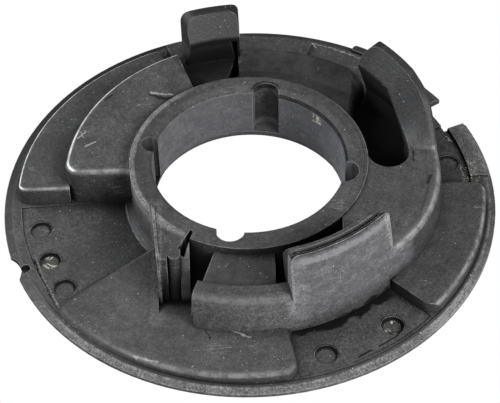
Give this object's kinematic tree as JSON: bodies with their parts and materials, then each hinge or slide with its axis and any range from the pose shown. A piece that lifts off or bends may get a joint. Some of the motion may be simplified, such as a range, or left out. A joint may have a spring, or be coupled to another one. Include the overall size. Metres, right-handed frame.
{
  "type": "coil spring insulator",
  "caption": "Round moulded rubber seat for a coil spring, with a bored collar, stepped pads on a thin flange and barbed retaining tabs.",
  "frame": {"origin": "on the bore axis, at the underside of the hub boss", "axes": "+Z along the bore axis towards the barbed tabs; +X towards the narrow outer pad on the right; the long low pad lies towards -Y"},
  "size_m": [0.16, 0.16, 0.0349],
  "materials": {
    "rubber": "matt, dusty and scuffed"
  },
  "bodies": {
    "root": {"spring_insulator": "rubber"}
  },
  "joints": []
}
